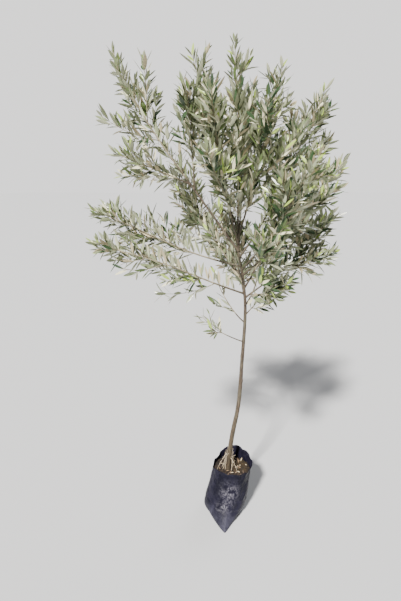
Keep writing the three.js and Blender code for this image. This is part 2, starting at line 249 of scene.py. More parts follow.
def seeded(seed):
    """The generator of numbers from 0 to 1 that the part's source uses."""
    state = seed

    def draw():
        nonlocal state
        state = (state * 1664525 + 1013904223) & 0xFFFFFFFF
        return state / 4294967296

    return draw


def scatter(random):
    """A vector with every part between -0.5 and 0.5."""
    return np.array((random(), random(), random())) - 0.5


def mix(a, b, share):
    return a + (b - a) * share


def unit(v):
    return v / np.linalg.norm(v)


def heading(turn, rise):
    t, r = math.radians(turn), math.radians(rise)
    return np.array((math.cos(r) * math.cos(t), math.cos(r) * math.sin(t), math.sin(r)))


def splay(axis, angle, roll):
    """A unit vector at an angle from an axis, at a roll round it."""
    other = UP if abs(axis[2]) < 0.95 else np.array((1.0, 0.0, 0.0))
    side = unit(np.cross(axis, other))
    across = np.cross(axis, side)
    return axis * math.cos(angle) + math.sin(angle) * (side * math.cos(roll) + across * math.sin(roll))


# Paths are arrays of evenly spaced points


def path_length(path):
    return float(np.linalg.norm(path[1] - path[0])) * (len(path) - 1)


def place_on(path, distance):
    """The step of a path that a distance falls in, and the share of the step that it covers."""
    place = min(max(distance / path_length(path), 0), 1) * (len(path) - 1)
    i = min(int(place), len(path) - 2)
    return i, place - i


def point_on(path, distance):
    i, share = place_on(path, distance)
    return mix(path[i], path[i + 1], share)


def direction_on(path, distance):
    i, _ = place_on(path, distance)
    return unit(path[i + 1] - path[i])


def branch_path(start, turns, rises, length, index):
    """A path whose turn and rise go from one value to another, with a slight waver."""
    path = [start]
    for i in range(PATH_STEPS):
        share = (i + 0.5) / PATH_STEPS
        waver = 3 * math.sin(7 * share + index)
        way = heading(mix(*turns, share) + waver, mix(*rises, share) + waver)
        path.append(path[i] + way * length / PATH_STEPS)
    return np.array(path)


def shoot_path(start, direction, length, lift, steps):
    """A path that bends upwards as it goes."""
    path = [start]
    way = direction
    for _ in range(steps):
        path.append(path[-1] + way * length / steps)
        way = unit(way + UP * lift / steps)
    return np.array(path)


def grown(path, extra):
    """A path carried on past its tip, as one more point."""
    return np.vstack((path, path[-1] + direction_on(path, path_length(path)) * extra))


def trunk_curve():
    """The smooth curve through the trunk's points."""
    given = np.array(TRUNK_PATH, float)
    points = np.vstack((2 * given[0] - given[1], given, 2 * given[-1] - given[-2]))
    curve = []
    for k in range(TRUNK_STEPS + 1):
        place = (len(given) - 1) * k / TRUNK_STEPS
        i = min(int(place), len(given) - 2)
        w = place - i
        a, b, c, d = points[i : i + 4]
        start, end = (c - a) / 2, (d - b) / 2
        curve.append(
            b + start * w + (3 * (c - b) - 2 * start - end) * w**2 + (2 * (b - c) + start + end) * w**3
        )
    return np.array(curve)


TRUNK = trunk_curve()
CURVE_FOOT = TRUNK[0][2]
CURVE_TOP = TRUNK[-1][2]


def trunk_point(height):
    """The trunk's middle at a height, and straight on beyond its ends."""
    i = min(max(int(np.searchsorted(TRUNK[:, 2], height)), 1), len(TRUNK) - 1)
    low, high = TRUNK[i - 1], TRUNK[i]
    return mix(low, high, (height - low[2]) / (high[2] - low[2]))


def trunk_radius(height):
    taper = mix(TRUNK_FOOT_RADIUS, TRUNK_TOP_RADIUS, (height - GROUND) / (TRUNK_TOP - GROUND))
    return taper + FLARE_RADIUS * math.exp(-(height - GROUND) / FLARE_HEIGHT)


def lay_out():
    """Every branch's path, as the solids have it."""
    laid = {}
    for index, (name, on, at, turns, rises, length, bare, radius) in enumerate(BRANCHES):
        start = trunk_point(at) if on == "trunk" else point_on(laid[on]["path"], at)
        path = branch_path(start, turns, rises, length, index)
        shares = [i / (STEM_POINTS - 1) for i in range(STEM_POINTS)]
        stem = np.array([point_on(path, mix(bare, length, share)) for share in shares])
        laid[name] = {
            "name": name, "index": index, "path": path, "stem": stem,
            "length": length, "bare": bare, "radius": radius,
        }
    return list(laid.values())


branches = lay_out()
STEM_STARTS = np.concatenate([b["stem"][:-1] for b in branches])
STEM_WAYS = np.concatenate([np.diff(b["stem"], axis=0) for b in branches])


def in_space(spot, branch, margin):
    """True where the branch's own stem is nearer than any other stem by a margin, clear of the trunk."""
    share = ((spot - STEM_STARTS) * STEM_WAYS).sum(1) / (STEM_WAYS**2).sum(1)
    nearest = STEM_STARTS + STEM_WAYS * np.clip(share, 0, 1)[:, None]
    far = np.linalg.norm(nearest - spot, axis=1).reshape(len(branches), -1).min(1)
    others = np.delete(far, branch["index"]).min()
    trunk = trunk_point(min(max(spot[2], CURVE_FOOT), CURVE_TOP))
    off_trunk = np.linalg.norm(trunk - spot) > TRUNK_CLEARANCE or spot[2] > CURVE_TOP
    return off_trunk and others > far[branch["index"]] + margin


def in_view(points):
    """Where points appear from the photographed side: across and up, per unit of depth."""
    ways = points - EYE
    return ways[..., ::2] / ways[..., 1:2]


def limbs_in_view():
    """Paths that stay clear in front, and how far below and above each."""
    low, high = CLEAR_TRUNK_HEIGHTS
    trunk = TRUNK[(TRUNK[:, 2] > low) & (TRUNK[:, 2] < high)]
    limbs = [(trunk, CLEAR_TRUNK_SIDE, CLEAR_TRUNK_SIDE)]
    for branch in branches:
        if branch["name"] in CLEAR:
            limbs.append((branch["path"][: int(PATH_STEPS * CLEAR_SHARE)], *CLEAR[branch["name"]]))
    return limbs


LIMBS_IN_VIEW = limbs_in_view()


def hides_limb(spot):
    """True for a spot in front of a limb that the photographed side shows."""
    for path, below, above in LIMBS_IN_VIEW:
        gaps = (in_view(spot) - in_view(path)) * (path[:, 1:2] - EYE[1])
        far = np.hypot(*gaps.T)
        step = far.argmin()
        if path[step][1] - spot[1] > CLEAR_FRONT and far[step] < (above if gaps[step][1] > 0 else below):
            return True
    return False


def hangs_below(spot, path):
    """True for a spot that the photographed side shows below a path."""
    gaps = in_view(spot) - in_view(path)
    return gaps[np.hypot(*gaps.T).argmin()][1] < 0


def main_shoots(branch):
    """The side shoots that the solids have too."""
    random = seeded(1000 + branch["index"])
    shoots = []
    roll = branch["index"]
    d = branch["bare"] + SHOOT_START
    while d < branch["length"] - SHOOT_SHORTEST / 2:
        roll += GOLDEN_ANGLE
        angle = SHOOT_ANGLE * (0.85 + 0.3 * random())
        wanted = (branch["length"] - d) * SHOOT_SHARE + SHOOT_SHORTEST / 2
        length = min(SHOOT_LONGEST, max(SHOOT_SHORTEST, wanted)) * (0.8 + 0.4 * random())
        direction = splay(direction_on(branch["path"], d), angle, roll + 0.5 * (random() - 0.5))
        path = shoot_path(point_on(branch["path"], d), direction, length, SHOOT_LIFT, 6)
        if all(in_space(spot, branch, 0) for spot in path[2::2]):
            shoots.append(path)
        d += SHOOT_SPACING
    return shoots


def fine_twigs(branch, host, start, random):
    """Finer twigs on a stem or a shoot, shorter towards its tip and longer where they grow inwards."""
    twigs = []
    length = path_length(host)
    roll = 6 * random()
    d = start
    while d < length - 12:
        roll += GOLDEN_ANGLE
        wanted = (length - d) * TWIG_SHARE + TWIG_SHORTEST * 0.6
        reach = min(TWIG_LONGEST, max(TWIG_SHORTEST, wanted)) * (0.7 + 0.6 * random())
        way = splay(direction_on(host, d), TWIG_ANGLE * (0.8 + 0.4 * random()), roll)
        root = point_on(host, d)
        if (trunk_point(min(root[2], CURVE_TOP)) - root).dot(way) > 0:
            reach *= INWARD_GROWTH
        reach *= np.interp(root[2], TOP_THINS, (1, TOP_SHARE))
        path = shoot_path(root, way, reach, TWIG_LIFT, 4)
        inside = all(in_space(spot, branch, TWIG_MARGIN) for spot in (path[2], path[-1]))
        if inside and not any(hides_limb(spot) for spot in path[1:]):
            twigs.append(path)
        d += TWIG_SPACING * (0.75 + 0.5 * random())
    return twigs


class Pile:
    """Vertices, faces and face slots that become one mesh."""

    def __init__(self):
        self.vertices, self.faces, self.slots = [], [], []

    def add(self, vertices, faces, slots=None):
        base = len(self.vertices)
        self.vertices.extend(vertices)
        self.faces.extend([tuple(base + i for i in face) for face in faces])
        self.slots.extend(slots or [0] * len(faces))

    def piece(self, name, materials, slot, nodes):
        """Makes the mesh a piece of the part's only body, in place of nodes of the solids."""
        mesh = bpy.data.meshes.new(name)
        mesh.from_pydata((np.array(self.vertices) * MM).tolist(), [], self.faces)
        for material in materials:
            mesh.materials.append(material)
        mesh.polygons.foreach_set("material_index", self.slots)
        mesh.polygons.foreach_set("use_smooth", [True] * len(mesh.polygons))
        mesh.update()
        thing = bpy.data.objects.new(name, mesh)
        bpy.context.scene.collection.objects.link(thing)
        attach(thing, "root")
        if nodes:
            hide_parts(*nodes)


def angles(count):
    """Evenly spaced turns round a ring."""
    return [2 * math.pi * k / count for k in range(count)]


def ring_faces(rings, around, turned=False):
    """Quads between rings of vertices: they face outwards when each ring is above the last, or turned."""
    faces = []
    for low in range(0, (rings - 1) * around, around):
        for k in range(around):
            after = (k + 1) % around
            face = (low + k, low + after, low + around + after, low + around + k)
            faces.append((face[0], *face[:0:-1]) if turned else face)
    return faces


def fan(ring, around, tip, turned=False):
    """Triangles from a ring, which starts at a vertex, to a tip."""
    pairs = [(ring + k, ring + (k + 1) % around) for k in range(around)]
    return [(b, a, tip) if turned else (a, b, tip) for a, b in pairs]


def tube(pile, points, radii, sides, relief=None, level=False):
    """A closed tube along points. relief(angle, along) adds to the radius, and level cuts the foot flat."""
    points = np.asarray(points)
    last = len(points) - 1
    vertices, along = [], 0.0
    side = np.array((1.0, 0.35, 0.0))
    for i, point in enumerate(points):
        way = unit(points[min(i + 1, last)] - points[max(i - 1, 0)])
        if level and i == 0:
            way = UP
        side = unit(side - way * side.dot(way))
        across = np.cross(way, side)
        along += float(np.linalg.norm(point - points[i - 1])) if i else 0.0
        for angle in angles(sides):
            radius = radii[i] + (relief(angle, along) if relief else 0)
            vertices.append(point + radius * (side * math.cos(angle) + across * math.sin(angle)))
    foot = tuple(range(sides - 1, -1, -1))
    tip = tuple(last * sides + k for k in range(sides))
    pile.add(vertices, [*ring_faces(len(points), sides), foot, tip])


# Materials. A ramp is a row of stops, each a place with a value or a colour


def material(name, colour, roughness, **sockets):
    made = bpy.data.materials.new(name)
    made.use_nodes = True
    shader = made.node_tree.nodes["Principled BSDF"]
    shader.inputs["Base Color"].default_value = (*colour, 1)
    shader.inputs["Roughness"].default_value = roughness
    for socket, value in sockets.items():
        shader.inputs[socket.replace("_", " ")].default_value = value
    return made


class Nodes:
    """Short calls for building a procedural material on the object's own coordinates."""

    def __init__(self, made):
        self.tree = made.node_tree
        self.shader = self.tree.nodes["Principled BSDF"]
        self.place = self.tree.nodes.new("ShaderNodeTexCoord").outputs["Object"]

    def link(self, source, socket):
        self.tree.links.new(source, socket)

    def scaled(self, scale):
        node = self.tree.nodes.new("ShaderNodeMapping")
        node.inputs["Scale"].default_value = scale
        self.link(self.place, node.inputs["Vector"])
        return node.outputs["Vector"]

    def noise(self, scale, stretch, detail, roughness, distortion=0):
        node = self.tree.nodes.new("ShaderNodeTexNoise")
        self.link(self.scaled(stretch), node.inputs["Vector"])
        node.inputs["Scale"].default_value = scale
        node.inputs["Detail"].default_value = detail
        node.inputs["Roughness"].default_value = roughness
        node.inputs["Distortion"].default_value = distortion
        return node.outputs["Fac"]

    def cells(self, scale, stretch):
        """The distance to the middle of the nearest cell."""
        node = self.tree.nodes.new("ShaderNodeTexVoronoi")
        self.link(self.scaled(stretch), node.inputs["Vector"])
        node.inputs["Scale"].default_value = scale
        return node.outputs["Distance"]

    def ramp(self, fac, *stops):
        node = self.tree.nodes.new("ShaderNodeValToRGB")
        elements = node.color_ramp.elements
        while len(elements) < len(stops):
            elements.new(0.5)
        for element, (place, colour) in zip(elements, stops):
            element.position = place
            element.color = (*colour, 1) if isinstance(colour, tuple) else (colour, colour, colour, 1)
        self.link(fac, node.inputs["Fac"])
        return node.outputs["Color"]

    def rise(self, fac, start, end, top=1.0):
        """0 up to a start, and from there to a top value at an end."""
        return self.ramp(fac, (start, 0.0), (end, top))

    def blend(self, fac, a, b, kind="MIX"):
        node = self.tree.nodes.new("ShaderNodeMix")
        node.data_type = "RGBA"
        node.blend_type = kind
        for socket, value in (("Factor", fac), ("A", a), ("B", b)):
            inputs = [s for s in node.inputs if s.name == socket and s.enabled]
            if isinstance(value, bpy.types.NodeSocket):
                self.link(value, inputs[0])
            else:
                inputs[0].default_value = (*value, 1) if isinstance(value, tuple) else value
        return [s for s in node.outputs if s.enabled][0]

    def times(self, a, b):
        return self.blend(1.0, a, b, "MULTIPLY")

    def height(self):
        """Metres above the ground."""
        node = self.tree.nodes.new("ShaderNodeSeparateXYZ")
        self.link(self.place, node.inputs["Vector"])
        return node.outputs["Z"]

    def patch(self, centre, reach):
        """1 at a centre, fading to 0 at a reach along each axis, all in metres."""
        offset = self.tree.nodes.new("ShaderNodeMapping")
        offset.vector_type = "TEXTURE"
        offset.inputs["Location"].default_value = centre
        offset.inputs["Scale"].default_value = reach
        self.link(self.place, offset.inputs["Vector"])
        node = self.tree.nodes.new("ShaderNodeTexGradient")
        node.gradient_type = "QUADRATIC_SPHERE"
        self.link(offset.outputs["Vector"], node.inputs["Vector"])
        return node.outputs["Fac"]

    def colour(self, source):
        self.link(source, self.shader.inputs["Base Color"])

    def rough(self, source):
        self.link(source, self.shader.inputs["Roughness"])

    def bump(self, source, strength, distance, under=None):
        node = self.tree.nodes.new("ShaderNodeBump")
        node.inputs["Strength"].default_value = strength
        node.inputs["Distance"].default_value = distance
        self.link(source, node.inputs["Height"])
        if under is not None:
            self.link(under, node.inputs["Normal"])
        self.link(node.outputs["Normal"], self.shader.inputs["Normal"])
        return node.outputs["Normal"]


# Bark: brown and grey ridges between dark furrows, pale flecks, and how much darker the foot is
BARK_BROWN = ((0.32, (0.018, 0.0125, 0.008)), (0.5, (0.052, 0.0365, 0.0235)), (0.7, (0.14, 0.102, 0.068)))
BARK_GREY = ((0.32, (0.027, 0.0235, 0.015)), (0.7, (0.13, 0.112, 0.074)))
BARK_FLECKS = (0.17, 0.13, 0.09)
BARK_BY_HEIGHT = ((0.24, (0.56, 0.46, 0.36)), (0.36, (0.84, 0.77, 0.67)), (0.62, 1.0))
TWIG_BARK = ((0.3, (0.12, 0.1, 0.065)), (0.55, (0.25, 0.215, 0.14)), (0.75, (0.4, 0.345, 0.245)))
DRY_BARK = (0.43, 0.355, 0.26)


def bark_material():
    """Streaked brown bark with grey patches and pale flecks, darker and warmer at the foot."""
    made = material("bark", (0.2, 0.17, 0.12), 0.8)
    n = Nodes(made)
    streaks = n.noise(300, (1, 1, 0.12), 5, 0.6)
    patches = n.noise(26, (1, 1, 0.35), 4, 0.6, 0.6)
    cells = n.cells(240, (1, 1, 0.8))
    mixed = n.blend(n.rise(patches, 0.42, 0.6), n.ramp(streaks, *BARK_BROWN), n.ramp(streaks, *BARK_GREY))
    flecks = n.ramp(cells, (0.05, 1.0), (0.16, 0.0))
    n.colour(n.times(n.blend(flecks, mixed, BARK_FLECKS), n.ramp(n.height(), *BARK_BY_HEIGHT)))
    n.rough(n.ramp(patches, (0.3, 0.68), (0.7, 0.88)))
    under = n.bump(streaks, 0.5, 0.0012)
    n.bump(flecks, 0.35, 0.0006, under)
    return made


def twig_material():
    made = material("twig", (0.22, 0.2, 0.13), 0.7)
    n = Nodes(made)
    patches = n.noise(60, (1, 1, 0.5), 3, 0.5)
    n.colour(n.ramp(patches, *TWIG_BARK))
    n.bump(patches, 0.2, 0.0005)
    return made


# Film: its own tones, the grey of dust and scuffs, the pale blue-grey at the foot that is dust and a
# painted sky reflection on the low facets, and the worn places with their reach
FILM_TONES = ((0.3, (0.003, 0.003, 0.007)), (0.7, (0.013, 0.012, 0.024)))
FILM_DUST = (0.046, 0.043, 0.067)
FILM_SCUFFS = (0.32, 0.31, 0.36)
FILM_FOOT_DUST_AND_REFLECTION = (0.11, 0.11, 0.15)
WORN_MIDDLE = ((0.026, -0.08, 0.152), (0.08, 0.08, 0.085))
WORN_LOWER = ((0.002, -0.1, 0.08), (0.075, 0.07, 0.048))


def film_material():
    """Blue-black film with fine creases, two scuffed patches at the front, and towards the foot a pale
    blue-grey that is dust and a painted sky reflection.
    """
    made = material("film", (0.02, 0.02, 0.026), 0.4, Specular_IOR_Level=0.075)
    n = Nodes(made)
    dust = n.noise(24, (1, 1, 1), 8, 0.7, 0.5)
    scratches = n.noise(150, (1, 1, 0.7), 6, 0.8)
    film = n.ramp(n.noise(13, (1, 1, 0.5), 5, 0.6), *FILM_TONES)
    dusty = n.blend(n.rise(dust, 0.5, 0.75, 0.42), film, FILM_DUST)
    worn = n.blend(1.0, n.patch(*WORN_MIDDLE), n.patch(*WORN_LOWER), "ADD")
    blotches = n.rise(n.noise(36, (1, 1, 0.8), 4, 0.65, 0.8), 0.4, 0.56)
    scuffs = n.times(n.times(worn, blotches), n.rise(scratches, 0.42, 0.68))
    scuffed = n.blend(scuffs, dusty, FILM_SCUFFS)
    # Towards the foot: dust and a painted sky reflection on the low folded facets
    foot = n.times(n.ramp(n.height(), (0.0, 0.75), (0.075, 0.0)), n.ramp(dust, (0.35, 0.1), (0.65, 0.55)))
    n.colour(n.blend(foot, scuffed, FILM_FOOT_DUST_AND_REFLECTION))
    n.rough(n.ramp(dust, (0.35, 0.3), (0.7, 0.62)))
    under = n.bump(n.noise(48, (1, 1, 0.45), 6, 0.62, 1.0), 0.6, 0.0035)
    n.bump(n.noise(190, (1, 1, 0.8), 4, 0.6, 0.6), 0.3, 0.0012, under)
    return made


# Soil: the tones of earth and of moss, and where the moss lies
EARTH = ((0.38, (0.003, 0.0015, 0.001)), (0.55, (0.0135, 0.0072, 0.004)), (0.72, (0.092, 0.053, 0.032)))
MOSS = ((0.38, (0.005, 0.003, 0.001)), (0.55, (0.032, 0.019, 0.005)), (0.72, (0.145, 0.093, 0.028)))
MOSS_PLACE = ((0.078, 0.035, 0.215), (0.085, 0.085, 0.05))


def soil_material():
    """Dark crumbly earth with patches of yellow-brown moss on the right."""
    made = material("soil", (0.08, 0.055, 0.04), 0.95)
    n = Nodes(made)
    grains = n.noise(170, (1, 1, 1), 6, 0.75)
    patches = n.noise(26, (1, 1, 1), 4, 0.65)
    mossy = n.times(n.rise(patches, 0.4, 0.52), n.patch(*MOSS_PLACE))
    n.colour(n.blend(n.rise(mossy, 0.05, 0.3, 0.95), n.ramp(grains, *EARTH), n.ramp(grains, *MOSS)))
    n.bump(grains, 0.9, 0.004)
    return made


# Tones of the leaves' upper faces, of their pale undersides, and of dead ones. The palest upper tone is a
# painted highlight, and the deep one is also used as painted shade
UPPER_TONES = (
    ("leaf_sage", (0.145, 0.177, 0.085)),
    ("leaf_olive", (0.07, 0.105, 0.03)),
    ("leaf_deep", (0.027, 0.056, 0.021)),
    ("leaf_grey", (0.25, 0.275, 0.185)),
    ("leaf_young", (0.31, 0.42, 0.085)),
    # A pale cream upper face: a painted highlight, sun glint painted into the colour
    ("leaf_painted_highlight", (0.66, 0.63, 0.44)),
)
# Single leaves take the deep tone as painted shade and the pale cream one as a painted highlight
DEEP_PAINTED_SHADE, YOUNG, PALE_PAINTED_HIGHLIGHT = 2, 4, 5
LOWER_TONES = (
    ("underside_silver", (0.42, 0.435, 0.3)),
    ("underside_sage", (0.25, 0.28, 0.16)),
    ("underside_warm", (0.5, 0.43, 0.275)),
    # A darker copy of the sage underside: painted shade on the comb's leaves
    ("underside_painted_shade", (0.145, 0.158, 0.09)),
)
DEAD_TONES = (
    ("litter_brown", (0.19, 0.125, 0.075)),
    ("litter_straw", (0.56, 0.46, 0.31)),
    ("litter_dark", (0.07, 0.045, 0.03)),
)

# Leaf outline: distance from root to tip, and half width there, as shares
LEAF_STATIONS = ((0.07, 0.1), (0.3, 0.82), (0.56, 1.0), (0.82, 0.6))


def leaf_grid():
    """Faces of one side of a leaf: root, stations of left, middle and right, tip."""
    faces = [(0, 2, 1), (0, 3, 2)]
    for s in range(len(LEAF_STATIONS) - 1):
        a, b = 1 + 3 * s, 4 + 3 * s
        faces += [(a, a + 1, b + 1, b), (a + 1, a + 2, b + 2, b + 1)]
    a, tip = 1 + 3 * (len(LEAF_STATIONS) - 1), 1 + 3 * len(LEAF_STATIONS)
    faces += [(a, a + 1, tip), (a + 1, a + 2, tip)]
    return faces


UPPER_FACES = leaf_grid()
LEAF_CORNERS = 2 + 3 * len(LEAF_STATIONS)
LOWER_FACES = [tuple(LEAF_CORNERS + i for i in reversed(face)) for face in UPPER_FACES]


def leaf(pile, root, way, face, length, width, bend, fold, tones):
    """One leaf from its root along way, its upper side towards face."""
    across = unit(np.cross(way, face))
    up = np.cross(across, way)

    def spot(t, side, lift):
        bow = bend * length * (t * t)
        return root + way * (t * length * (1 - 0.25 * abs(bend) * t)) + up * (bow + lift) + across * side

    rows = [spot(0, 0, 0)]
    for t, w in LEAF_STATIONS:
        half = width / 2 * w
        rows += [spot(t, half, fold * half), spot(t, 0, LEAF_HALF_THICKNESS), spot(t, -half, fold * half)]
    rows.append(spot(1, 0, 0))
    under = list(rows)
    for s, (t, _) in enumerate(LEAF_STATIONS):
        under[2 + 3 * s] = spot(t, 0, -LEAF_HALF_THICKNESS)
    upper, lower = tones
    slots = [upper] * len(UPPER_FACES) + [lower] * len(LOWER_FACES)
    pile.add(rows + under, UPPER_FACES + LOWER_FACES, slots)


def spray_tone(random, spot):
    """A tone for a spray: mostly the darker ones deep inside the crown, as painted shade and older leaves,
    and on the highest tips.
    """
    from_trunk = math.hypot(*(trunk_point(min(spot[2], CURVE_TOP)) - spot)[:2])
    inside = from_trunk < SHADED_HEART_REACH and spot[2] < SHADED_HEART_TOP
    # Deep inside the crown the dark sprays are painted shade as well as older leaves
    if (inside or spot[2] > DARK_TIPS) and random() < DARK_SHARE:
        return 1 + int(random() * 1.7)
    return int(random() * 4.4)


def leaf_tones(tone, young, shade):
    """The tone of the spray, with some leaves a step away from it, yellower young ones, some leaves in
    painted shade with the deep tone, and some with a painted highlight in the pale cream tone.
    """
    upper = tone
    if young > 0.5 and shade < 0.35:
        upper = YOUNG
    elif shade > 0.8:
        upper = (tone + 1) % 4
    # Painted shade: some leaves take the deep tone, as if turned away from the light
    elif shade > 0.68:
        upper = DEEP_PAINTED_SHADE
    # Painted highlight: some leaves take the pale cream tone, as if catching the sun
    elif shade < 0.15:
        upper = PALE_PAINTED_HIGHLIGHT
    lower = len(UPPER_TONES) + (0 if shade < 0.5 else 1 if shade < 0.85 else 2)
    return upper, lower


def leaves_on(pile, path, start, branch, random, tone, presence=1.0):
    """Opposite pairs of leaves along a path, each pair a quarter turn from the last."""
    length = path_length(path)
    turn = random() * math.pi
    d = start
    while d < length - 2:
        turn += math.pi / 2 + 0.3 * (random() - 0.5)
        young = max(0.0, 1 - (length - d) / YOUNG_REACH)
        for half in (0, math.pi):
            size = (0.8 + 0.36 * random()) * mix(1, YOUNG_SIZE, young)
            angle = LEAF_ANGLE * (0.75 + 0.5 * random()) * mix(1, YOUNG_ANGLE, young)
            way = direction_on(path, d)
            out = unit(splay(way, angle, turn + half + 0.25 * (random() - 0.5)) + UP * LEAF_LIFT * random())
            face = unit(way + UP * 0.25 + 0.6 * scatter(random))
            if abs(face.dot(out)) > 0.97:
                face = unit(face + UP * 0.5)
            shade = random()
            bend = 0.28 * (random() - 0.6)
            root = point_on(path, d)
            reach = LEAF_LENGTH * size
            if random() > presence or not in_space(root + out * reach, branch, LEAF_MARGIN):
                continue
            if any(hides_limb(root + out * reach * share) for share in LEAF_CHECKS):
                continue
            width = LEAF_WIDTH * (0.85 + 0.3 * random()) * mix(1, YOUNG_WIDTH, young)
            fold = 0.12 + 0.2 * random()
            leaf(pile, root, out, face, reach, width, bend, fold, leaf_tones(tone, young, shade))
        d += LEAF_SPACING * (0.8 + 0.4 * random())


def comb_on(pile, branch, random):
    """Pairs of slim leaves that stand up along a low branch, their undersides to the front."""
    d = branch["bare"] * COMB_START
    while d < branch["length"] * CLEAR_SHARE:
        for side in (-1, 1):
            place = d + 10 * (random() - 0.5)
            way, root = direction_on(branch["path"], place), point_on(branch["path"], place)
            along = way * (0.75 * random() - 0.25)
            out = unit(UP + along + np.cross(way, UP) * side * (0.05 + 0.35 * random()))
            face = unit(np.array((0.9 * (random() - 0.5), 1, 0.7 * random())))
            size = LEAF_LENGTH * (0.75 + 0.4 * random())
            # Some undersides take the darker copy of the sage tone, which is painted shade
            lower = len(UPPER_TONES) + COMB_UNDERSIDES[int(4.99 * random())]
            width = LEAF_WIDTH * (0.55 + 0.3 * random())
            bend = 0.3 * (random() - 0.5)
            leaf(pile, root, out, face, size, width, bend, 0.2, (int(3 * random()), lower))
        d += COMB_SPACING * (0.8 + 0.4 * random())


def bark_relief(depth, seed):
    """Ridges, grain and nodes of bark, by the angle round a limb and the way along it."""

    def relief(angle, along):
        ridges = noise.noise(Vector((3 * math.cos(angle) + seed, 3 * math.sin(angle), along * 0.022)))
        grain = noise.noise(Vector((8 * math.cos(angle), 8 * math.sin(angle) + seed, along * 0.12)))
        node = math.exp(-((((along % NODE_SPACING) - NODE_PLACE) / NODE_LENGTH) ** 2))
        round_node = 0.6 + 0.4 * math.cos(2 * angle + along // NODE_SPACING)
        return depth * (0.55 * ridges + 0.3 * grain + 0.35 * node * round_node)

    return relief


trunk_bark = bark_relief(TRUNK_BARK, 2)


def trunk_relief(angle, along):
    """The trunk's bark, the ridges of its root flare and its healed knots."""
    ridges = math.exp(-along / ROOT_RIDGE_HEIGHT) * ROOT_RIDGE * (0.5 + 0.5 * math.cos(4 * angle + 0.7))
    knots = 0.0
    for place, turn, size in KNOTS:
        off = math.remainder(angle - turn, 2 * math.pi)
        knots += size * math.exp(-(((along - place) / KNOT_LENGTH) ** 2) - (off / KNOT_SPREAD) ** 2)
    return trunk_bark(angle, along) + ridges * (1 if along > 2 else 0.8) + knots


def build_limbs():
    """Trunk and boughs with bark relief, from the soil to where the leaves start."""
    pile = Pile()
    close = np.arange(GROUND - TRUNK_ROOT, CLOSE_RINGS_BELOW, CLOSE_RINGS)
    heights = np.concatenate((close, np.arange(CLOSE_RINGS_BELOW, TRUNK_TOP, WIDE_RINGS), [TRUNK_TOP]))
    radii = [trunk_radius(max(h, GROUND)) for h in heights]
    tube(pile, [trunk_point(h) for h in heights], radii, TRUNK_SIDES, trunk_relief, level=True)
    boughs = [branch for branch in branches if branch["bare"]]
    for branch in boughs:
        count = max(6, int(branch["bare"] / BOUGH_RINGS))
        steps = [branch["bare"] * i / count for i in range(count + 1)]
        radii = []
        for d in steps:
            collar = 1 + COLLAR_SHARE * math.exp(-d / COLLAR_LENGTH)
            radii.append(mix(branch["radius"], TIP_RADIUS, d / branch["length"]) * collar)
        points = [point_on(branch["path"], d) for d in steps]
        tube(pile, points, radii, BOUGH_SIDES, bark_relief(BOUGH_BARK, branch["index"]))
    nodes = ["trunk"] + ["bough_" + branch["name"] for branch in boughs]
    pile.piece("limbs", [bark_material()], "bark", nodes)


def add_dry(wood, points, random):
    """A dry shoot along points, knocked a little out of line, with a short fork."""
    points = np.array(points)
    points[1:-1] += DRY_KINK * (np.array([(random(), random(), 0.5) for _ in points[1:-1]]) - 0.5)
    along = np.concatenate(([0], np.cumsum(np.linalg.norm(np.diff(points, axis=0), axis=1))))
    spread = np.linspace(0, along[-1], len(points))
    path = np.stack([np.interp(spread, along, points[:, k]) for k in range(3)], axis=1)
    tube(wood, path, np.interp(np.linspace(0, 2, len(path)), (0, 1, 2), DRY_RADII), 6)
    at = path_length(path) * (0.4 + 0.35 * random())
    way = splay(direction_on(path, at), math.radians(30 + 24 * random()), 6.3 * random())
    fork = shoot_path(point_on(path, at), way, 16 + 20 * random(), 0.5, 4)
    tube(wood, fork, np.linspace(*DRY_FORK_RADII, len(fork)), 5)


def build_dry_shoots():
    """Pale dry shoots that rise beside the trunk's foot, and two that bend over to the soil."""
    wood = Pile()
    random = seeded(57)
    steps = np.linspace(0, 1, DRY_STEPS)
    for turn, root, height, stand in DRY_SHOOTS:
        points = []
        for t in steps:
            z = GROUND - DRY_ROOT + height * t
            axis = trunk_point(max(z, GROUND))
            off = mix(root, trunk_radius(max(z, GROUND)) + 2 + stand * t, min(1, 1.8 * t) ** 0.7)
            way = heading(turn + 12 * math.sin(4 * t + turn), 0)
            points.append(np.array((axis[0], axis[1], z)) + way * off)
        add_dry(wood, points, random)
    for turn, height, reach in ARCHED_SHOOTS:
        way = heading(turn, 0)
        start = trunk_point(GROUND + height) + way * trunk_radius(GROUND + height)
        add_dry(wood, [start + way * reach * t - UP * (height - 3) * t**1.6 for t in steps], random)
    wood.piece("dry_shoots", [material("dry_bark", DRY_BARK, 0.8)], "bark", [])


def add_twig(wood, store, path, form, branch, random, presence):
    """A twig or shoot and its leaves, in the tone of its spray."""
    radii, sides, start = form
    tube(wood, path, np.interp(np.linspace(0, 1, len(path)), np.linspace(0, 1, len(radii)), radii), sides)
    leaves_on(store, path, start, branch, random, spray_tone(random, path[-1]), presence)


